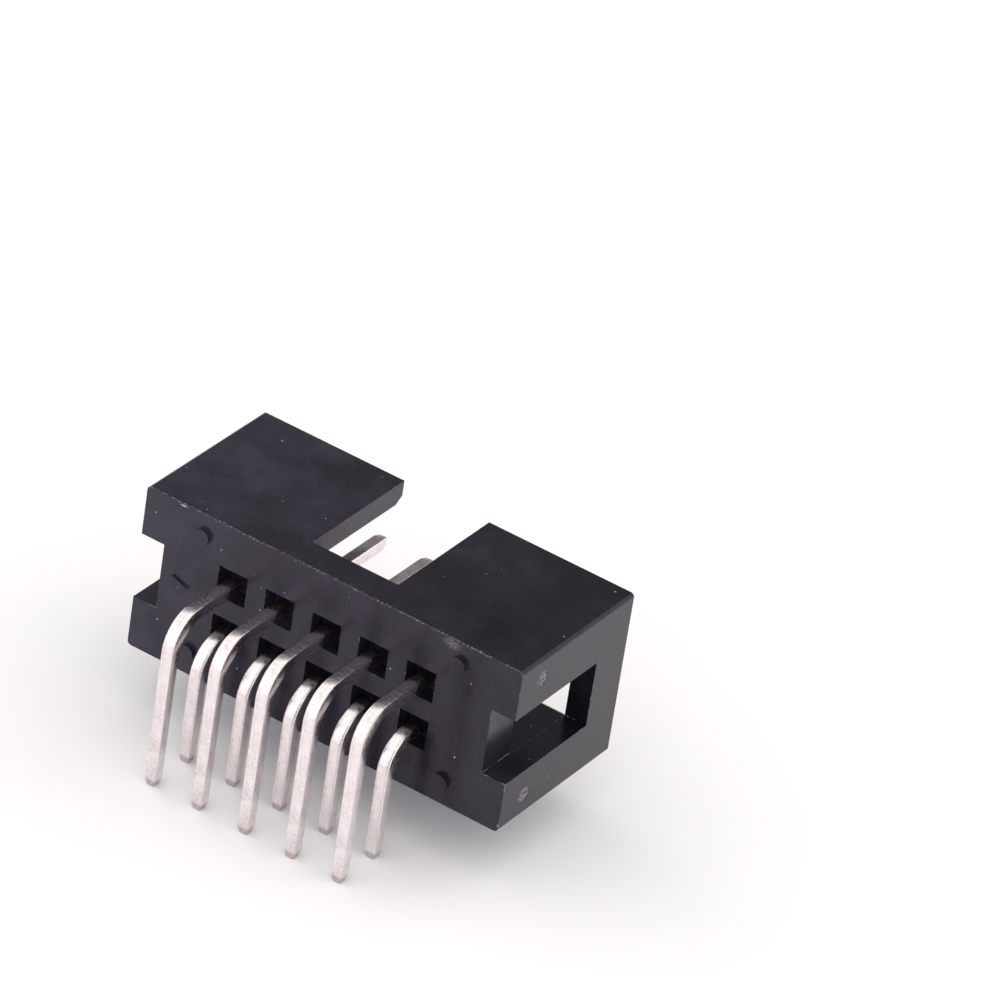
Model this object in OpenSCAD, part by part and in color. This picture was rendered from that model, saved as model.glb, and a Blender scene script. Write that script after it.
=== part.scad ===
// Right-angle box header for a flat ribbon cable.
// A moulded shroud holds two rows of square contact pins. Each pin is pressed through
// the rear wall of the shroud and bent down into a tail that is soldered to the board.
//
// The origin is the centre of the shroud's underside, which sits on the board.
// +X runs along the rows, +Y to the rear, +Z away from the board. The mouth faces -Y.
// All sizes are in millimetres.

/* [Contacts] */
// Contacts in each of the two rows
positions = 5; // [2:1:20]
// Spacing of the contacts along a row and between the rows
pitch = 2.54; // [2.1:0.01:3.2]
// Side of the square pin
pin_side = 0.6; // [0.4:0.01:0.8]
// Width of the flat that breaks each long edge of a pin
pin_edge_break = 0.1; // [0.04:0.01:0.16]
// Length of the taper at both tips of a pin
pin_taper_length = 0.4; // [0.2:0.05:0.8]
// Distance that each side of a pin draws in over that taper
pin_taper_inset = 0.09; // [0.03:0.01:0.15]
// Depth of the contact tips inside the mouth
tip_recess = 0.7; // [0:0.05:2]
// Radius on the inside of a pin's bend
bend_inside = 1.1; // [0.5:0.05:1.3]
// Distance from the shroud's rear face to the first row of tails
tail_offset = 1.75; // [1.75:0.01:4]
// Length of the tails below the board face
tail_length = 2.95; // [1.5:0.05:5]

/* [Shroud] */
// Distance from the last contact of a row to the shroud's end face
end_margin = 5.02; // [4.2:0.01:7]
// Distance from the mouth to the rear face
shroud_depth = 8.7; // [7:0.05:12]
// Height above the board
shroud_height = 8.45; // [7:0.05:12]
// Radius of the four long outer edges that run from front to rear
edge_radius = 0.2; // [0.1:0.05:0.6]
// Thickness of the keyed wall and of the wall on the board
long_wall = 1.1; // [0.7:0.05:1.4]
// Thickness of the two end walls
end_wall = 1.15; // [0.8:0.05:1.6]
// Thickness of the rear wall that carries the pins
rear_wall = 2.1; // [1.6:0.05:3]

/* [Mouth] */
// Width of the lead-in bevel around the mouth
lead_in_width = 0.3; // [0.1:0.05:0.5]
// Depth of the lead-in bevel
lead_in_depth = 0.45; // [0.2:0.05:1]
// Width of the keyway in the top wall
keyway_width = 4.6; // [3:0.05:5]
// Distance that the keyway runs on past the cavity's floor
keyway_overrun = 0.45; // [0:0.05:1]

/* [End slots] */
// Height of the slot in each end wall
slot_height = 3.35; // [2:0.05:4.2]
// Length of end wall left whole between the mouth and the slot
slot_lip = 2.35; // [1.5:0.05:4]
// Depth that the slot is cut past the inner face of the end wall
slot_overcut = 0.1; // [0:0.05:0.5]

/* [Rear face] */
// Gap between a pin and the sides of its window
window_gap = 0.475; // [0.2:0.005:0.6]
// Depth of the windows around the pins
window_depth = 1.0; // [0.3:0.05:1.4]
// Diameter of the four round pads left by the ejector pins
ejector_dia = 0.8; // [0.5:0.05:1.2]
// Height of the ejector pads above the rear face
ejector_height = 0.2; // [0.05:0.05:0.4]
// Distance from the ejector pads to the end face
ejector_from_end = 3.2; // [2.2:0.05:3.4]
// Distance from the ejector pads to the top or underside
ejector_from_edge = 1.14; // [0.8:0.02:1.3]
// Length of the raised triangle that marks the first contact
marker_length = 0.84; // [0.6:0.02:1.2]
// Width of that triangle
marker_width = 0.86; // [0.5:0.02:1.2]
// Height of that triangle above the rear face
marker_height = 0.12; // [0.05:0.01:0.3]
// Gap between the triangle's point and the first window
marker_gap = 1.42; // [0.6:0.02:1.6]
// Angle between the triangle's axis and the rows of contacts
marker_tilt = -8; // [-30:1:30]

/* [Hidden] */
$fn = 48;
// Distance that cutting shapes run on past the faces they open.
cut = 1;
// Distance that raised marks sink into the shroud they stand on.
root = 0.3;

row_length = (positions - 1) * pitch;
shroud_length = row_length + 2 * end_margin;
mouth_y = -shroud_depth / 2;
rear_y = shroud_depth / 2;
mid_z = shroud_height / 2;

cavity_length = shroud_length - 2 * end_wall;
cavity_height = shroud_height - 2 * long_wall;
cavity_depth = shroud_depth - rear_wall;
keyway_depth = cavity_depth + keyway_overrun;

slot_cut = end_wall + slot_overcut;
slot_length = shroud_depth - slot_lip;

window_side = pin_side + 2 * window_gap;
window_edge_x = row_length / 2 + window_side / 2;
ejector_x = shroud_length / 2 - ejector_from_end;

contact_tip_y = mouth_y + tip_recess;
bend_radius = bend_inside + pin_side / 2;
pin_edge_cut = pin_edge_break / sqrt(2);

// Place of contact i along the row. The first contact is at the +X end.
function contact_x(i) = row_length / 2 - (i - 1) * pitch;

// Height of a row above the board: row 0 is the lower one and row 1 the upper one.
function row_z(row) = mid_z + (row - 0.5) * pitch;

// Distance of a row's tails behind the origin.
function tail_y(row) = rear_y + tail_offset + row * pitch;

// Square section of a pin, with its corners cut off.
module pin_section() {
    a = pin_side / 2;
    b = a - pin_edge_cut;
    polygon([[a, b], [b, a], [-b, a], [-a, b], [-a, -b], [-b, -a], [b, -a], [a, -b]]);
}

// Side view of a straight bar from z = 0 up to its tapered tip.
module tip_outline(length) {
    a = pin_side / 2;
    t = a - pin_taper_inset;
    polygon([[-a, 0], [a, 0], [a, length - pin_taper_length], [t, length], [-t, length],
             [-a, length - pin_taper_length]]);
}

// Straight stretch of pin along +Z that ends in a tip tapered on all four sides.
module tipped_bar(length) {
    intersection() {
        linear_extrude(length) pin_section();
        rotate([90, 0, 0]) linear_extrude(2 * pin_side, center = true) tip_outline(length);
        rotate([90, 0, 90]) linear_extrude(2 * pin_side, center = true) tip_outline(length);
    }
}

// Quarter turn from a bar along -Y, in the plane of Y and Z, to a bar along -Z.
module pin_bend() {
    rotate([90, 0, 90]) rotate_extrude(angle = 90, $fn = 64)
        translate([bend_radius, 0]) pin_section();
}

// One right-angle pin of a row, centred on X = 0.
module pin(row) {
    bend_y = tail_y(row) - bend_radius;
    bend_z = row_z(row) - bend_radius;
    union() {
        translate([0, bend_y, row_z(row)]) rotate([90, 0, 0]) tipped_bar(bend_y - contact_tip_y);
        translate([0, bend_y, bend_z]) pin_bend();
        translate([0, tail_y(row), bend_z]) rotate([180, 0, 0]) tipped_bar(bend_z + tail_length);
    }
}

module upper_pin(i) {
    color("#c9bfbc") translate([contact_x(i), 0, 0]) pin(1);
}

module lower_pin(i) {
    color("#c9bfbc") translate([contact_x(i), 0, 0]) pin(0);
}

// Outer block, with its four long edges rounded.
module shroud_block() {
    w = shroud_length;
    h = shroud_height;
    r = edge_radius;
    translate([0, rear_y, 0]) rotate([90, 0, 0]) linear_extrude(shroud_depth) {
        translate([-w / 2 + r, 0]) square([w - 2 * r, h]);
        translate([-w / 2, r]) square([w, h - 2 * r]);
        for (x = [-w / 2 + r, w / 2 - r], z = [r, h - r]) translate([x, z]) circle(r);
    }
}

// Outline of the cavity seen along one wall, widening into the lead-in at the mouth.
module cavity_outline(width) {
    a = width / 2;
    b = a + lead_in_width;
    grow = a + lead_in_width * (1 + cut / lead_in_depth);
    polygon([[-a, cavity_depth], [-a, lead_in_depth], [-grow, -cut], [grow, -cut],
             [a, lead_in_depth], [a, cavity_depth]]);
}

// Space that the plug goes into, open at the mouth.
module cavity() {
    span = 2 * max(shroud_length, shroud_height);
    translate([0, mouth_y, mid_z]) intersection() {
        linear_extrude(span, center = true) cavity_outline(cavity_length);
        rotate([0, 90, 0]) linear_extrude(span, center = true) cavity_outline(cavity_height);
    }
}

// Slot through the top wall for the plug's key.
module keyway() {
    translate([-keyway_width / 2, mouth_y - cut, shroud_height - long_wall])
        cube([keyway_width, keyway_depth + cut, long_wall + cut]);
}

// Slot in one end wall, open at the rear. It reaches the cavity in front of the rear wall.
module end_slot() {
    translate([shroud_length / 2 - slot_cut, mouth_y + slot_lip, mid_z - slot_height / 2])
        cube([slot_cut + cut, slot_length + cut, slot_height]);
}

// Square recess in the rear face around a pin, and the hole that grips the pin.
module pin_window() {
    translate([-window_side / 2, rear_y - window_depth, -window_side / 2])
        cube([window_side, window_depth + cut, window_side]);
    translate([0, rear_y, 0]) rotate([90, 0, 0])
        translate([0, 0, -cut]) linear_extrude(rear_wall + 2 * cut) pin_section();
}

// Low round pad on the rear face, where an ejector pin pushed the moulding out.
module ejector_pad() {
    translate([0, rear_y + ejector_height, 0]) rotate([90, 0, 0])
        cylinder(d = ejector_dia, h = ejector_height + root);
}

// Low triangle on the rear face that points at the first contact.
module first_contact_marker() {
    base_x = window_edge_x + marker_gap + marker_length;
    translate([base_x, rear_y + marker_height, mid_z]) rotate([90, 0, 0])
        linear_extrude(marker_height + root) rotate(marker_tilt)
            polygon([[-marker_length, 0], [0, -marker_width / 2], [0, marker_width / 2]]);
}

module shroud() {
    color("#3a383e") union() {
        difference() {
            shroud_block();
            cavity();
            keyway();
            end_slot();
            mirror([1, 0, 0]) end_slot();
            for (i = [1 : positions], row = [0, 1])
                translate([contact_x(i), 0, row_z(row)]) pin_window();
        }
        for (x = [-ejector_x, ejector_x], z = [ejector_from_edge, shroud_height - ejector_from_edge])
            translate([x, 0, z]) ejector_pad();
        first_contact_marker();
    }
}

shroud();
for (i = [1 : positions]) upper_pin(i);
for (i = [1 : positions]) lower_pin(i);
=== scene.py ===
import math

import bmesh
import bpy
from mathutils import Matrix, Vector


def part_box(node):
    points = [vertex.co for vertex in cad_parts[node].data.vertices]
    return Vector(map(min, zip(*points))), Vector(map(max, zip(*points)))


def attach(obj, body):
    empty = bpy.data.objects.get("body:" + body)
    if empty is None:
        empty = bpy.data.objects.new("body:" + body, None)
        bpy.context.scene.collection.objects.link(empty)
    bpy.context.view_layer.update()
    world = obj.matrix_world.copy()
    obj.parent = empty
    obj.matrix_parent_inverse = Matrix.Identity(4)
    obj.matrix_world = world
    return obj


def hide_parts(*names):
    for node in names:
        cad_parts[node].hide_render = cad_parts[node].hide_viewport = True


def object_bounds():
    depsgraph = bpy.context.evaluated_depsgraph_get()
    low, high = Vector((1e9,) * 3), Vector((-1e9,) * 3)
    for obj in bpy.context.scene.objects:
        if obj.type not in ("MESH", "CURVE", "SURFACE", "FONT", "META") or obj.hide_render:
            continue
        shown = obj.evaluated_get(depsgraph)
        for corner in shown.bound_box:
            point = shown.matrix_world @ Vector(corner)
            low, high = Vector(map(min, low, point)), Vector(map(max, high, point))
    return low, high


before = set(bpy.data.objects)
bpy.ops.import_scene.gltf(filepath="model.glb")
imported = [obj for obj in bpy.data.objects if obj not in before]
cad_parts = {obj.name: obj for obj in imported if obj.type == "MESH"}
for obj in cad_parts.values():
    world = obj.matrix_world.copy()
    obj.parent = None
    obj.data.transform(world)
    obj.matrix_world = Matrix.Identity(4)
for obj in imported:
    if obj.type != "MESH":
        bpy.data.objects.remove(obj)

CAD_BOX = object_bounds()
MM = 0.001
ROOT = "root"

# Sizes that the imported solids' boxes don't give, as the part's own source has them.
POSITIONS = 5
PIN_TAPER_LENGTH = 0.4 * MM
PIN_TAPER_INSET = 0.09 * MM
PIN_BEND_INSIDE = 1.1 * MM
END_WALL = 1.15 * MM
SLOT_HEIGHT = 3.35 * MM
EJECTOR_PAD_HEIGHT = 0.2 * MM

# The pins' long edges are rounded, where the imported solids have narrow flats.
PIN_EDGE_RADIUS = 0.085 * MM
# Width that the inside of a bend gains in bending.
PIN_BULGE = 0.14 * MM

SHROUD_LOW, SHROUD_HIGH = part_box("shroud")
REAR_Y = SHROUD_HIGH.y - EJECTOR_PAD_HEIGHT
SLOT_INNER_X = SHROUD_HIGH.x - END_WALL
SLOT_FLOOR_Z = (SHROUD_HIGH.z - SLOT_HEIGHT) / 2


def linear(code):
    """An sRGB hex colour, such as "38363c", as linear red, green, blue and alpha."""
    channels = [int(code[i:i + 2], 16) / 255 for i in (0, 2, 4)]
    return tuple(c / 12.92 if c <= 0.04045 else ((c + 0.055) / 1.055) ** 2.4 for c in channels) + (1.0,)


def add(tree, kind, inputs=None, stops=(), **settings):
    """Adds a node. Settings are its properties, and stops are the (place, hex colour) pairs of a colour
    ramp. Inputs go by name or place: each is a value, a socket, or a node for its first output."""
    node = tree.nodes.new(kind)
    for number, (place, code) in enumerate(stops):
        elements = node.color_ramp.elements
        element = elements[number] if number < len(elements) else elements.new(place)
        element.position = place
        element.color = linear(code)
    for name, value in settings.items():
        setattr(node, name, value)
    for name, value in (inputs or {}).items():
        if isinstance(value, bpy.types.Node):
            value = value.outputs[0]
        if isinstance(value, bpy.types.NodeSocket):
            tree.links.new(value, node.inputs[name])
        else:
            node.inputs[name].default_value = value
    return node


def new_object(name, mesh):
    piece = bpy.data.objects.new(name, mesh)
    bpy.context.scene.collection.objects.link(piece)
    return piece


def make_plain(piece):
    """Bakes a piece's modifiers into its mesh and removes them."""
    graph = bpy.context.evaluated_depsgraph_get()
    mesh = bpy.data.meshes.new_from_object(piece.evaluated_get(graph), preserve_all_data_layers=True,
                                           depsgraph=graph)
    piece.modifiers.clear()
    piece.data = mesh
    mesh.name = piece.name


# Materials

def new_material(name):
    material = bpy.data.materials.new(name)
    material.use_nodes = True
    material.node_tree.nodes.clear()
    return material, material.node_tree


def near_line(tree, place, weights, line, reach):
    """How close a point is to a line: 1 within the first reach, 0 beyond the second. The weights say how
    much each axis counts. The line runs along the axis that counts for nothing, or else is a point."""
    near, far = reach
    target = [weight * part for weight, part in zip(weights, line)]
    weighted = add(tree, "ShaderNodeVectorMath", {0: place, 1: weights}, operation="MULTIPLY")
    gap = add(tree, "ShaderNodeVectorMath", {0: weighted, 1: target}, operation="DISTANCE")
    return add(tree, "ShaderNodeMapRange", {"Value": gap.outputs["Value"], "From Min": near, "From Max": far,
                                            "To Min": 1.0, "To Max": 0.0})


# Moulded polyester. Each spacing is how far apart the marks of one pattern lie: about 3 mm for the flow
# marks and 1 mm for the smudges. Real grain, crumbs and frays are finer than the spacings of these
# three, and are drawn as coarse as they need to show.
FLOW_SPACING = MM / 0.33
SMUDGE_SPACING = MM / 0.9
GRAIN_SPACING = MM / 9
CRUMB_SPACING = MM / 17
FRAY_SPACING = MM / 9
NICK_SPACING = MM / 2.6
# The dust's cells are this wide, and only those with a dot near the surface show one.
DUST_SPACING = MM / 1.1

# Two gate marks on the -X end: their place from front to rear, and how far they lie from the top and
# from the underside.
GATE_Y = 2.6 * MM
GATE_FROM_EDGE = 1.14 * MM
GATE_RADIUS = 0.43 * MM
# A scuff and one long nick, on the rear face below its top edge.
SCUFF_X = -6.4 * MM
SCUFF_DROP = 0.3 * MM
LONG_NICK_X = 8.1 * MM
LONG_NICK_DROP = 0.12 * MM
# How far each mark reaches from its middle: fully, and at all.
SCUFF_REACH = (0.05 * MM, 0.32 * MM)
LONG_NICK_REACH = (0.01 * MM, 0.06 * MM)
FLASH_REACH = (0.02 * MM, 0.12 * MM)
GATE_REACH = (0.7 * GATE_RADIUS, GATE_RADIUS)
WEAR_AND_HIGHLIGHT_REACH = (0.1 * MM, 0.3 * MM)
# A scuff and a nick are drawn out along the edge: a distance along it counts for this share of itself.
SCUFF_STRETCH = 0.6
LONG_NICK_STRETCH = 0.25
# Depths of the patterns' relief.
SCAR_DEPTH = 0.04 * MM
GRAIN_DEPTH = 0.02 * MM
NICK_DEPTH = 0.03 * MM

# The plastic has the usual IOR. Its mirror is a little weaker and cooler than usual, matched to the part.
POLYESTER_IOR = 1.5
POLYESTER_SPECULAR = 0.43
POLYESTER_TINT = linear("e4dcf0")
PALE_CRUMB = linear("b8b5bc")


def moulded_and_painted_light_colour(tree, place, smudge, grain):
    """Near black, with painted light that makes it greyer towards +X, and with flow marks, smudges and grain.
    """
    flow = add(tree, "ShaderNodeTexNoise", {"Vector": place, "Scale": 1 / FLOW_SPACING, "Detail": 4.0,
                                            "Roughness": 0.55})
    # Smudges and grain each count for about a third of what the flow marks do.
    mottle = add(tree, "ShaderNodeMath", {0: smudge, 1: 0.35, 2: flow}, operation="MULTIPLY_ADD")
    speckle = add(tree, "ShaderNodeMath", {0: grain, 1: 0.35, 2: mottle}, operation="MULTIPLY_ADD")
    # Painted light: the part is greyer towards +X, where more light fell on it.
    run = add(tree, "ShaderNodeSeparateXYZ", {0: place})
    painted_light_towards_x = add(tree, "ShaderNodeMapRange", {"Value": run, "From Min": SHROUD_LOW.x,
                                              "From Max": SHROUD_HIGH.x, "To Min": 0.0, "To Max": 0.5})
    tone = add(tree, "ShaderNodeMath", {0: speckle, 1: painted_light_towards_x}, operation="ADD")
    # The sum runs from about 0.7 at -X to 1.4 at +X.
    share = add(tree, "ShaderNodeMapRange", {"Value": tone, "From Min": 0.5, "From Max": 1.5})
    return add(tree, "ShaderNodeValToRGB", {0: share},
               stops=[(0.05, "0f0e12"), (0.35, "1a191e"), (0.6, "232129"), (0.95, "33313b")])


def gate_scars(tree, place):
    """1 on the two round marks where the runners were broken off the -X end, 0 elsewhere."""
    low, high = (near_line(tree, place, (1, 1, 1), (SHROUD_LOW.x, GATE_Y, z), GATE_REACH)
                 for z in (GATE_FROM_EDGE, SHROUD_HIGH.z - GATE_FROM_EDGE))
    return add(tree, "ShaderNodeMath", {0: low, 1: high}, operation="ADD")


def torn_crumbs(tree, place, scars):
    """Crumbs of torn plastic on the gate marks, and fewer on a scuff under the top rear edge."""
    scuff = near_line(tree, place, (SCUFF_STRETCH, 1, 1), (SCUFF_X, REAR_Y, SHROUD_HIGH.z - SCUFF_DROP),
                      SCUFF_REACH)
    rubbed = add(tree, "ShaderNodeMath", {0: scuff, 1: 0.6, 2: scars}, operation="MULTIPLY_ADD")
    crumbs = add(tree, "ShaderNodeTexNoise", {"Vector": place, "Scale": 1 / CRUMB_SPACING, "Detail": 2.0,
                                              "Roughness": 0.6})
    crumb = add(tree, "ShaderNodeMapRange", {"Value": crumbs, "From Min": 0.5, "From Max": 0.57})
    return add(tree, "ShaderNodeMath", {0: rubbed, 1: crumb}, operation="MULTIPLY")


def frayed_flash(tree, place):
    """Pale flash, frayed along the mould's parting at the top rear edge, with one long nick in it."""
    fringe = near_line(tree, place, (0, 1, 1), (0, REAR_Y, SHROUD_HIGH.z), FLASH_REACH)
    frays = add(tree, "ShaderNodeTexNoise", {"Vector": place, "Scale": 1 / FRAY_SPACING, "Detail": 3.0})
    fray = add(tree, "ShaderNodeMapRange", {"Value": frays, "From Min": 0.56, "From Max": 0.8})
    frayed = add(tree, "ShaderNodeMath", {0: fringe, 1: fray}, operation="MULTIPLY")
    nick = near_line(tree, place, (LONG_NICK_STRETCH, 1, 1),
                     (LONG_NICK_X, REAR_Y, SHROUD_HIGH.z - LONG_NICK_DROP), LONG_NICK_REACH)
    return add(tree, "ShaderNodeMath", {0: frayed, 1: nick}, operation="MAXIMUM")


def dust_dots(tree, place):
    """Dots of dust, about 0.08 mm across and a few millimetres apart, some brighter than others."""
    cells = add(tree, "ShaderNodeTexVoronoi", {"Vector": place, "Scale": 1 / DUST_SPACING}, feature="F1")
    dot = add(tree, "ShaderNodeMapRange", {"Value": cells.outputs["Distance"], "From Min": 0.03,
                                           "From Max": 0.06, "To Min": 1.0, "To Max": 0.0})
    return add(tree, "ShaderNodeMath", {0: dot, 1: cells.outputs["Color"]}, operation="MULTIPLY")


def moulded_polyester():
    """Black glass-filled polyester straight from the mould: half gloss, so that it mirrors what is near
    it softly, with flow marks, smudges and dust."""
    material, tree = new_material("black moulded polyester")
    place = add(tree, "ShaderNodeTexCoord").outputs["Object"]
    smudge = add(tree, "ShaderNodeTexNoise", {"Vector": place, "Scale": 1 / SMUDGE_SPACING, "Detail": 3.0,
                                              "Distortion": 0.6})
    grain = add(tree, "ShaderNodeTexNoise", {"Vector": place, "Scale": 1 / GRAIN_SPACING, "Detail": 3.0,
                                             "Roughness": 0.6})
    # The bare colour holds painted light, greyer towards +X.
    bare = moulded_and_painted_light_colour(tree, place, smudge, grain)
    scars = gate_scars(tree, place)
    crumbs = torn_crumbs(tree, place, scars)

    specks = crumbs
    for marks in (dust_dots(tree, place), frayed_flash(tree, place)):
        specks = add(tree, "ShaderNodeMath", {0: specks, 1: marks}, operation="MAXIMUM")
    colour = add(tree, "ShaderNodeMix", {0: specks, 6: bare, 7: PALE_CRUMB}, data_type="RGBA")
    gloss = add(tree, "ShaderNodeMapRange", {"Value": smudge, "From Min": 0.3, "From Max": 0.7,
                                             "To Min": 0.15, "To Max": 0.26})
    # Torn plastic is much rougher than the moulded skin.
    rough = add(tree, "ShaderNodeMath", {0: scars, 1: 0.35, 2: gloss}, operation="MULTIPLY_ADD")
    # The scars are sunk into the face, and their crumbs deeper still.
    torn = add(tree, "ShaderNodeMath", {0: crumbs, 1: 0.5, 2: scars}, operation="MULTIPLY_ADD")
    relief = add(tree, "ShaderNodeBump", {"Height": torn, "Strength": 1.0, "Distance": SCAR_DEPTH},
                 invert=True)
    bump = add(tree, "ShaderNodeBump", {"Height": grain, "Strength": 0.08, "Distance": GRAIN_DEPTH,
                                        "Normal": relief})
    shader = add(tree, "ShaderNodeBsdfPrincipled", {
        "Base Color": colour.outputs[2], "Roughness": rough, "IOR": POLYESTER_IOR,
        "Specular IOR Level": POLYESTER_SPECULAR, "Specular Tint": POLYESTER_TINT, "Normal": bump})
    add(tree, "ShaderNodeOutputMaterial", {"Surface": shader})
    return material


def worn_and_highlit_edge():
    """The same polyester on the moulding's edges, where handling and the mould's parting left it pale, with a
    painted highlight along the inner lower edges of the end slots.
    """
    material, tree = new_material("rubbed and highlit polyester edge")
    place = add(tree, "ShaderNodeTexCoord").outputs["Object"]
    nicks = add(tree, "ShaderNodeTexNoise", {"Vector": place, "Scale": 1 / NICK_SPACING, "Detail": 3.0,
                                             "Roughness": 0.6})
    level = add(tree, "ShaderNodeMapRange", {"Value": nicks, "From Min": 0.32, "From Max": 0.68})
    mirrored = add(tree, "ShaderNodeVectorMath", {0: place}, operation="ABSOLUTE")
    # More nicks on the top rear edge and the upright rear edges. Along the inner lower edges of the end slots
    # the pale colour is a painted highlight.
    for source, weights, line, boost in (
            (place, (0, 1, 1), (0, REAR_Y, SHROUD_HIGH.z), 0.4),
            (mirrored, (1, 1, 0), (SHROUD_HIGH.x, REAR_Y, 0), 0.25),
            (mirrored, (1, 0, 1), (SLOT_INNER_X, 0, SLOT_FLOOR_Z), 0.5)):
        close = near_line(tree, source, weights, line, WEAR_AND_HIGHLIGHT_REACH)
        level = add(tree, "ShaderNodeMath", {0: close, 1: boost, 2: level}, operation="MULTIPLY_ADD")
    colour = add(tree, "ShaderNodeValToRGB", {0: level},
                 stops=[(0.55, "1a191e"), (0.75, "4c4951"), (0.88, "a5a1a9"), (1.0, "f0edf2")])
    bump = add(tree, "ShaderNodeBump", {"Height": nicks, "Strength": 0.5, "Distance": NICK_DEPTH})
    shader = add(tree, "ShaderNodeBsdfPrincipled", {
        "Base Color": colour, "Roughness": 0.3, "IOR": POLYESTER_IOR,
        "Specular IOR Level": POLYESTER_SPECULAR, "Specular Tint": POLYESTER_TINT, "Normal": bump})
    add(tree, "ShaderNodeOutputMaterial", {"Surface": shader})
    return material


# Tin plate. The drawing lines of real wire are finer, and are drawn as coarse as they need to show.
LINE_SPACING = MM / 24
TIN_GRAIN_SPACING = MM / 8
BLOOM_SPACING = MM / 1.7
TIN_DEPTH = 0.01 * MM
# The pattern is squeezed this much along the wire, which draws its marks out into lines.
LINE_SQUEEZE = 0.05
# The struck tips of the tails go from dull to bright between these heights above their ends.
STRUCK_LOW = 0.3 * MM
STRUCK_HIGH = 0.4 * MM


def tinned_brass():
    """Satin tin plate over drawn square wire: a soft mirror with drawing lines and a fine matt grain."""
    material, tree = new_material("satin tin plate")
    wire = add(tree, "ShaderNodeAttribute", attribute_name="wire").outputs["Vector"]
    drawn = add(tree, "ShaderNodeMapping", {"Vector": wire, "Scale": (1.0, 1.0, LINE_SQUEEZE)})
    lines = add(tree, "ShaderNodeTexNoise", {"Vector": drawn, "Scale": 1 / LINE_SPACING, "Detail": 2.0})
    grain = add(tree, "ShaderNodeTexNoise", {"Vector": wire, "Scale": 1 / TIN_GRAIN_SPACING, "Detail": 2.0,
                                             "Roughness": 0.5})
    bloom = add(tree, "ShaderNodeTexNoise", {"Vector": wire, "Scale": 1 / BLOOM_SPACING, "Detail": 4.0,
                                             "Roughness": 0.6})
    # Blooms in the tin and its grain count for a little more than the lines.
    tone = add(tree, "ShaderNodeMath", {0: bloom, 1: 0.35}, operation="MULTIPLY")
    for pattern, part in ((grain, 0.35), (lines, 0.3)):
        tone = add(tree, "ShaderNodeMath", {0: pattern, 1: part, 2: tone}, operation="MULTIPLY_ADD")
    plate = add(tree, "ShaderNodeValToRGB", {0: tone},
                stops=[(0.4, "dcd2d2"), (0.5, "ede4e4"), (0.6, "f6f0f0")])
    # The tin is thin and dull at a tail's end, where it was cut and struck to a point.
    height = add(tree, "ShaderNodeSeparateXYZ", {0: add(tree, "ShaderNodeTexCoord").outputs["Object"]})
    cut = add(tree, "ShaderNodeMapRange", {
        "Value": height.outputs[2], "From Min": CAD_BOX[0].z + STRUCK_LOW,
        "From Max": CAD_BOX[0].z + STRUCK_HIGH, "To Min": 1.0, "To Max": 0.0})
    struck = add(tree, "ShaderNodeMath", {0: cut, 1: grain}, operation="MULTIPLY")
    colour = add(tree, "ShaderNodeMix", {0: struck, 6: plate, 7: linear("8a8284")}, data_type="RGBA")
    rough = add(tree, "ShaderNodeMapRange", {"Value": grain, "From Min": 0.3, "From Max": 0.7,
                                             "To Min": 0.15, "To Max": 0.27})
    relief = add(tree, "ShaderNodeMath", {0: lines, 1: grain}, operation="ADD")
    bump = add(tree, "ShaderNodeBump", {"Height": relief, "Strength": 0.34, "Distance": TIN_DEPTH})
    shader = add(tree, "ShaderNodeBsdfPrincipled", {"Base Color": colour.outputs[2], "Metallic": 1.0,
                                                    "Roughness": rough, "Normal": bump})
    add(tree, "ShaderNodeOutputMaterial", {"Surface": shader})
    return material


def studio_paper():
    """White matt paper sweep under soft light, very faintly clouded every 25 mm."""
    material, tree = new_material("white studio paper")
    place = add(tree, "ShaderNodeTexCoord").outputs["Object"]
    pulp = add(tree, "ShaderNodeTexNoise", {"Vector": place, "Scale": 1 / (25 * MM), "Detail": 2.0})
    colour = add(tree, "ShaderNodeValToRGB", {0: pulp}, stops=[(0.3, "fafafa"), (0.7, "fcfcfc")])
    shader = add(tree, "ShaderNodeBsdfPrincipled", {"Base Color": colour, "Roughness": 0.9,
                                                    "Specular IOR Level": 0.2})
    add(tree, "ShaderNodeOutputMaterial", {"Surface": shader})
    return material


# Shroud

# Rounding of the moulding's edges. A steel mould leaves them crisp, and handling wears them.
EDGE_ROUNDING = 0.06 * MM
MARK_ROUNDING = 0.03 * MM
# An edge that stands this far out of the rear face, or is this short, gets the smaller rounding.
MARK_LIFT = 0.01 * MM
SHORT_EDGE = 0.1 * MM
SHARP_ANGLE = math.radians(30)
# Facets within this angle are one face, and points this close are one point.
FLAT_ANGLE = math.radians(0.5)
WELD = 0.0001 * MM
# An edge this close to a pin's axis belongs to the hole that the pin fills.
PIN_HOLE_REACH = 0.45 * MM
# Places of the two materials on the shroud.
FACE = 0
EDGE = 1
# Facets within these angles of each other are shaded as one curved surface.
BARREL_ANGLE = math.radians(20)
CORNER_ANGLE = math.radians(60)


def in_pin_hole(edge, pin_centres):
    middle = (edge.verts[0].co + edge.verts[1].co) / 2
    return any(abs(middle.x - x) < PIN_HOLE_REACH and abs(middle.z - z) < PIN_HOLE_REACH
               for x, z in pin_centres)


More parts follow.
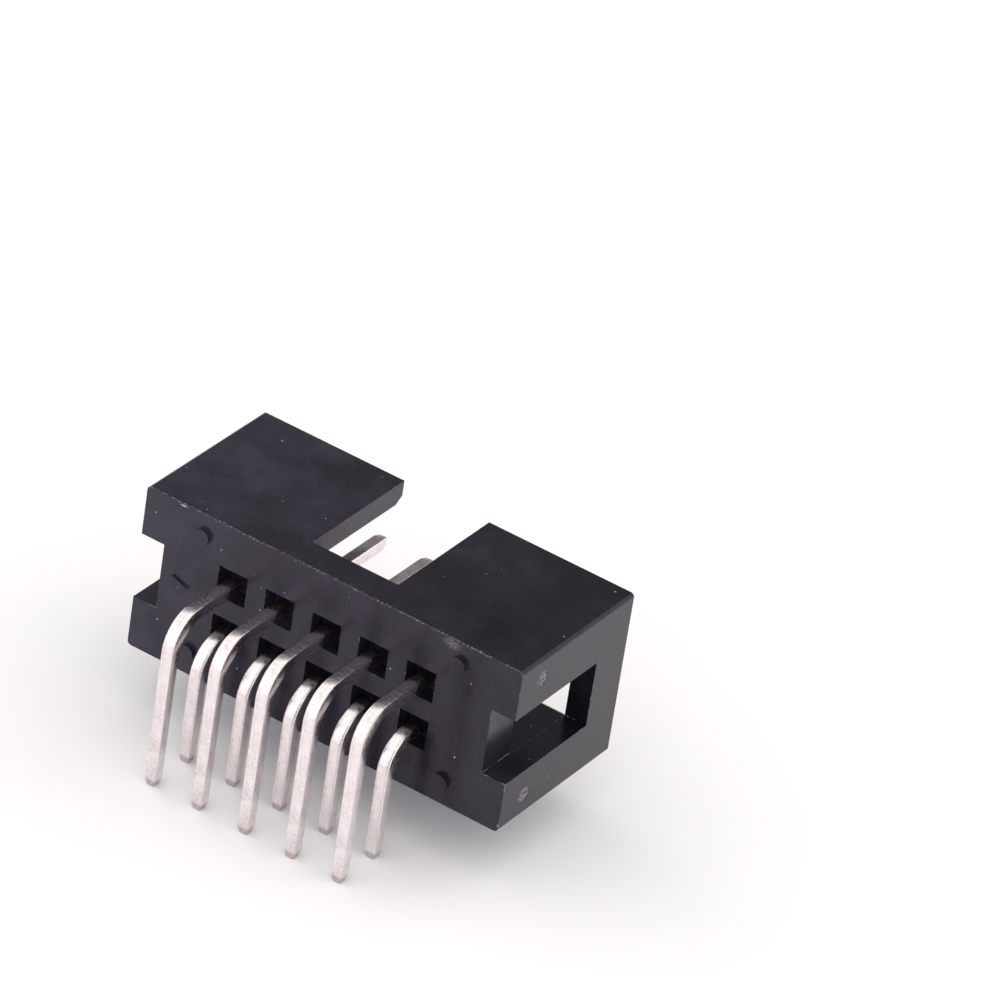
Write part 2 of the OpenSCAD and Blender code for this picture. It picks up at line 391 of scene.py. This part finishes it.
def set_flat_shading(mesh):
    """Shades faces flat, barrels smooth, and each rounded edge from the face on one side to the other."""
    around = [[] for _ in mesh.vertices]
    for face in mesh.polygons:
        for v in face.vertices:
            around[v].append(face)

    def blended(v, normal, material, angle):
        total = Vector((0, 0, 0))
        for face in around[v]:
            if face.material_index == material and face.normal.dot(normal) > math.cos(angle):
                total += face.normal * face.area
        return total.normalized() if total.length > 0 else normal

    normals = [None] * len(mesh.loops)
    for face in mesh.polygons:
        for loop, v in zip(face.loop_indices, face.vertices):
            sides = [other for other in around[v] if other.material_index == FACE]
            if face.material_index == FACE:
                normals[loop] = blended(v, face.normal, FACE, BARREL_ANGLE)
            elif sides:
                side = max(sides, key=lambda other: other.normal.dot(face.normal))
                normals[loop] = blended(v, side.normal, FACE, BARREL_ANGLE)
            else:
                normals[loop] = blended(v, face.normal, EDGE, CORNER_ANGLE)
    mesh.normals_split_custom_set(normals)


def shroud_mesh(pins):
    """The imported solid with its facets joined, and with a bevel weight on each edge to be rounded."""
    bm = bmesh.new()
    bm.from_mesh(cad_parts["shroud"].data)
    bmesh.ops.remove_doubles(bm, verts=bm.verts, dist=WELD)
    bmesh.ops.dissolve_limit(bm, angle_limit=FLAT_ANGLE, verts=bm.verts, edges=bm.edges)
    weight = bm.edges.layers.float.new("bevel_weight_edge")
    centres = [pin["centre"] for pin in pins]
    for edge in bm.edges:
        if edge.calc_face_angle(0.0) < SHARP_ANGLE or in_pin_hole(edge, centres):
            continue
        on_mark = max(v.co.y for v in edge.verts) > REAR_Y + MARK_LIFT
        small = on_mark or edge.calc_length() < SHORT_EDGE
        edge[weight] = MARK_ROUNDING / EDGE_ROUNDING if small else 1.0
    for face in bm.faces:
        face.smooth = True
        face.material_index = FACE
    mesh = bpy.data.meshes.new("shroud_moulding")
    bm.to_mesh(mesh)
    bm.free()
    return mesh


def shroud_piece(pins, plastic, rubbed):
    """The moulded shroud, with its edges rounded."""
    mesh = shroud_mesh(pins)
    mesh.materials.append(plastic)
    # The second material is the rubbed edges, with a painted highlight along the end slots' inner lower
    # edges.
    mesh.materials.append(rubbed)
    piece = new_object("shroud_moulding", mesh)
    bevel = piece.modifiers.new("edge rounding", "BEVEL")
    bevel.limit_method = "WEIGHT"
    bevel.width = EDGE_ROUNDING
    bevel.segments = 3
    bevel.use_clamp_overlap = True
    bevel.material = EDGE
    make_plain(piece)
    set_flat_shading(piece.data)
    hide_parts("shroud")
    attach(piece, ROOT)


# Pins

PIN_CREASE = math.radians(20)


def pin_facts(node):
    """Sizes of one right-angle pin, read from its solid's box."""
    low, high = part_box(node)
    side = high.x - low.x
    return {
        "node": node,
        "side": side,
        "centre": ((low.x + high.x) / 2, high.z - side / 2),
        "contact_tip": low.y,
        "tail": high.y - side / 2,
        "tail_tip": low.z,
    }


def pin_centre_line(tree, given):
    """Forward leg and tail, joined by an arc, with a point where each tip's taper starts."""
    contact_taper = add(tree, "ShaderNodeMath", {0: given["Contact Tip"], 1: given["Taper Length"]},
                        operation="ADD")
    tail_taper = add(tree, "ShaderNodeMath", {0: given["Tail Tip"], 1: given["Taper Length"]},
                     operation="ADD")
    places = [add(tree, "ShaderNodeCombineXYZ", {0: given["Place Along Row"], 1: y, 2: z}) for y, z in (
        (given["Contact Tip"], given["Row Height"]),
        (contact_taper, given["Row Height"]),
        (given["Tail"], given["Row Height"]),
        (given["Tail"], tail_taper),
        (given["Tail"], given["Tail Tip"]))]
    # Five points in a line, each then moved to its own place.
    line = add(tree, "GeometryNodeCurvePrimitiveLine", {"Start": places[0], "End": places[-1]})
    points = add(tree, "GeometryNodeResampleCurve", {"Curve": line, "Count": len(places)})
    pick = add(tree, "GeometryNodeIndexSwitch", data_type="VECTOR")
    while len(pick.index_switch_items) < len(places):
        pick.index_switch_items.new()
    tree.links.new(add(tree, "GeometryNodeInputIndex").outputs[0], pick.inputs[0])
    for number, place in enumerate(places):
        tree.links.new(place.outputs[0], pick.inputs[number + 1])
    corner = add(tree, "GeometryNodeSetPosition", {"Geometry": points, "Position": pick})
    return add(tree, "GeometryNodeFilletCurve", {"Curve": corner, "Count": 20, "Radius": given["Bend Radius"],
                                                 "Limit Radius": True}, mode="POLY")


def tapered_width(tree, given, along):
    """Share of its full width that a pin has at a point of its centre line."""
    total = add(tree, "GeometryNodeSplineLength").outputs["Length"]
    to_tail = add(tree, "ShaderNodeMath", {0: total, 1: along}, operation="SUBTRACT")
    from_tip = add(tree, "ShaderNodeMath", {0: along, 1: to_tail}, operation="MINIMUM")
    return add(tree, "ShaderNodeMapRange", {"Value": from_tip, "From Min": 0.0,
                                            "From Max": given["Taper Length"],
                                            "To Min": given["Tip Share"], "To Max": 1.0})


def bend_swell(tree, given, swept):
    """Pushes the inside of the bend out to both sides, as bending squeezes the metal there."""
    bend_y = add(tree, "ShaderNodeMath", {0: given["Tail"], 1: given["Bend Radius"]}, operation="SUBTRACT")
    bend_z = add(tree, "ShaderNodeMath", {0: given["Row Height"], 1: given["Bend Radius"]},
                 operation="SUBTRACT")
    centre = add(tree, "ShaderNodeCombineXYZ", {0: given["Place Along Row"], 1: bend_y, 2: bend_z})
    at = add(tree, "ShaderNodeVectorMath", {0: add(tree, "GeometryNodeInputPosition"), 1: centre},
             operation="SUBTRACT")
    across, rearward, upward = add(tree, "ShaderNodeSeparateXYZ", {0: at}).outputs
    in_plane = add(tree, "ShaderNodeCombineXYZ", {1: rearward, 2: upward})
    radius = add(tree, "ShaderNodeVectorMath", {0: in_plane}, operation="LENGTH").outputs["Value"]
    inner = add(tree, "ShaderNodeMath", {0: given["Side"], 1: -0.5, 2: given["Bend Radius"]},
                operation="MULTIPLY_ADD")
    swell = add(tree, "ShaderNodeMapRange", {"Value": radius, "From Min": inner,
                                             "From Max": given["Bend Radius"], "To Min": 1.0, "To Max": 0.0},
                interpolation_type="SMOOTHSTEP")
    # It fades from the middle of the bend to both of its ends. The two shares multiply to about 1 halfway.
    for distance in (rearward, upward):
        share = add(tree, "ShaderNodeMapRange", {"Value": distance, "From Min": 0.0, "From Max": inner,
                                                 "To Min": 0.0, "To Max": 1.4})
        swell = add(tree, "ShaderNodeMath", {0: swell, 1: share}, operation="MULTIPLY")
    spread = add(tree, "ShaderNodeMath", {0: swell, 1: given["Bulge"]}, operation="MULTIPLY")
    outward = add(tree, "ShaderNodeMath", {0: across, 1: given["Side"]}, operation="DIVIDE")
    push = add(tree, "ShaderNodeMath", {0: outward, 1: spread}, operation="MULTIPLY")
    shift = add(tree, "ShaderNodeCombineXYZ", {0: push})
    return add(tree, "GeometryNodeSetPosition", {"Geometry": swept, "Offset": shift})


def pin_tree(metal):
    """Geometry nodes that sweep a rounded square along a bent line and taper both of its tips. They keep
    each point's place in the section and along the wire, for the metal's patterns."""
    tree = bpy.data.node_groups.new("bent square pin", "GeometryNodeTree")
    for name in ("Side", "Edge Radius", "Row Height", "Place Along Row", "Contact Tip", "Tail", "Tail Tip",
                 "Bend Radius", "Taper Length", "Tip Share", "Bulge"):
        tree.interface.new_socket(name, in_out="INPUT", socket_type="NodeSocketFloat")
    tree.interface.new_socket("Geometry", in_out="OUTPUT", socket_type="NodeSocketGeometry")
    given = add(tree, "NodeGroupInput").outputs

    along = add(tree, "GeometryNodeSplineParameter").outputs["Length"]
    path = add(tree, "GeometryNodeCaptureAttribute", {"Geometry": pin_centre_line(tree, given)})
    path.capture_items.new("FLOAT", "Along")
    tree.links.new(along, path.inputs["Along"])

    square = add(tree, "GeometryNodeCurvePrimitiveQuadrilateral", {"Width": given["Side"],
                                                                   "Height": given["Side"]})
    rounded = add(tree, "GeometryNodeFilletCurve", {"Curve": square, "Count": 4,
                                                    "Radius": given["Edge Radius"]}, mode="POLY")
    outline = add(tree, "GeometryNodeCaptureAttribute", {"Geometry": rounded})
    outline.capture_items.new("VECTOR", "Section")
    tree.links.new(add(tree, "GeometryNodeInputPosition").outputs[0], outline.inputs["Section"])

    width = tapered_width(tree, given, along)
    swept = add(tree, "GeometryNodeCurveToMesh", {"Curve": path, "Profile Curve": outline, "Scale": width,
                                                  "Fill Caps": True})
    swollen = bend_swell(tree, given, swept)

    section = add(tree, "ShaderNodeSeparateXYZ", {0: outline.outputs["Section"]}).outputs
    wire = add(tree, "ShaderNodeCombineXYZ", {0: section[0], 1: section[1], 2: path.outputs["Along"]})
    named = add(tree, "GeometryNodeStoreNamedAttribute", {"Geometry": swollen, "Name": "wire"},
                data_type="FLOAT_VECTOR", domain="POINT")
    tree.links.new(wire.outputs[0], named.inputs["Value"])
    real = add(tree, "GeometryNodeRealizeInstances", {0: named})
    coated = add(tree, "GeometryNodeSetMaterial", {"Geometry": real, "Material": metal})
    add(tree, "NodeGroupOutput", {"Geometry": coated})
    return tree


def pin_piece(pin, tree):
    """One right-angle pin, swept from the sizes of its solid."""
    piece = new_object(pin["node"].replace("_pin_", "_contact_"), bpy.data.meshes.new(pin["node"]))
    sweep = piece.modifiers.new("sweep", "NODES")
    sweep.node_group = tree
    x, z = pin["centre"]
    values = {
        "Side": pin["side"], "Edge Radius": PIN_EDGE_RADIUS, "Row Height": z, "Place Along Row": x,
        "Contact Tip": pin["contact_tip"], "Tail": pin["tail"], "Tail Tip": pin["tail_tip"],
        "Bend Radius": PIN_BEND_INSIDE + pin["side"] / 2, "Taper Length": PIN_TAPER_LENGTH,
        "Tip Share": 1 - 2 * PIN_TAPER_INSET / pin["side"], "Bulge": PIN_BULGE,
    }
    for item in tree.interface.items_tree:
        if item.in_out == "INPUT":
            sweep[item.identifier] = values[item.name]
    make_plain(piece)
    piece.data.shade_smooth()
    piece.data.set_sharp_from_angle(angle=PIN_CREASE)
    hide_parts(pin["node"])
    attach(piece, ROOT)


# Studio

FLOOR_HALF = 1.5
# Light from a white tent round the part, with one dark opening in it, up in front and towards +X.
TENT_LIGHT = 1.35
TENT_SLOPE = (0.07, 0.07, 0.0)
OPENING_LIGHT = 0.24
OPENING_TOWARDS = (0.416, -0.733, 0.538)
OPENING_CORE = math.radians(17)
OPENING_REACH = math.radians(33)

VIEW_AZIMUTH = math.radians(209.55)
VIEW_ELEVATION = math.radians(32.53)
VIEW_ROLL = math.radians(9.15)
VIEW_DISTANCE = 344.5 * MM
# The camera looks at a point this far to its own right of the part's middle, and this far above it.
VIEW_OFFSET = (6.85 * MM, 7.35 * MM)
# Focal length, in the millimetres that Blender takes.
LENS = 281.6
CLIP_START = 0.01


def floor():
    bm = bmesh.new()
    corners = [(-1, -1), (1, -1), (1, 1), (-1, 1)]
    bm.faces.new([bm.verts.new((x * FLOOR_HALF, y * FLOOR_HALF, CAD_BOX[0].z)) for x, y in corners])
    mesh = bpy.data.meshes.new("floor")
    bm.to_mesh(mesh)
    bm.free()
    mesh.materials.append(studio_paper())
    new_object("floor", mesh)


def light():
    """A white light tent, with a soft-edged dark opening."""
    world = bpy.data.worlds.new("light tent")
    world.use_nodes = True
    tree = world.node_tree
    tree.nodes.clear()
    direction = add(tree, "ShaderNodeTexCoord").outputs["Generated"]
    towards = Vector(OPENING_TOWARDS).normalized()
    facing = add(tree, "ShaderNodeVectorMath", {0: direction, 1: towards}, operation="DOT_PRODUCT")
    strength = add(tree, "ShaderNodeMapRange", {
        "Value": facing.outputs["Value"], "From Min": math.cos(OPENING_REACH),
        "From Max": math.cos(OPENING_CORE), "To Min": TENT_LIGHT, "To Max": OPENING_LIGHT,
    }, interpolation_type="SMOOTHSTEP")
    # The lamp behind the cloth stands towards +X and +Y, and its light is a little warmer overhead.
    slope = add(tree, "ShaderNodeVectorMath", {0: direction, 1: TENT_SLOPE}, operation="DOT_PRODUCT")
    lit = add(tree, "ShaderNodeMath", {0: slope.outputs["Value"], 1: strength, 2: strength},
              operation="MULTIPLY_ADD")
    height = add(tree, "ShaderNodeSeparateXYZ", {0: direction})
    warmth = add(tree, "ShaderNodeValToRGB", {0: height.outputs[2]}, stops=[(0.4, "fbf9ff"), (0.8, "f3efec")])
    cloth = add(tree, "ShaderNodeBackground", {"Color": warmth, "Strength": lit})
    add(tree, "ShaderNodeOutputWorld", {"Surface": cloth})
    bpy.context.scene.world = world


def camera():
    """A long lens above the rear face and the -X end, turned a little about its own axis."""
    lens = bpy.data.cameras.new("camera")
    lens.lens = LENS
    lens.clip_start = CLIP_START
    back = Vector((math.sin(VIEW_AZIMUTH) * math.cos(VIEW_ELEVATION),
                   -math.cos(VIEW_AZIMUTH) * math.cos(VIEW_ELEVATION), math.sin(VIEW_ELEVATION)))
    right = Vector((0, 0, 1)).cross(back).normalized()
    up = back.cross(right)
    level = Matrix((right, up, back)).transposed()
    turned = level @ Matrix.Rotation(VIEW_ROLL, 3, "Z")
    middle = (CAD_BOX[0] + CAD_BOX[1]) / 2
    aim = middle + turned.col[0] * VIEW_OFFSET[0] + turned.col[1] * VIEW_OFFSET[1]
    viewer = bpy.data.objects.new("camera", lens)
    viewer.matrix_world = Matrix.Translation(aim + back * VIEW_DISTANCE) @ turned.to_4x4()
    bpy.context.scene.collection.objects.link(viewer)
    bpy.context.scene.camera = viewer


def build():
    rows = ("upper", "lower")
    pins = [pin_facts(f"{row}_pin_{i}") for row in rows for i in range(1, POSITIONS + 1)]
    shroud_piece(pins, moulded_polyester(), worn_and_highlit_edge())
    tree = pin_tree(tinned_brass())
    for pin in pins:
        pin_piece(pin, tree)
    floor()
    light()
    camera()
    bpy.context.scene.view_settings.view_transform = "Standard"


build()
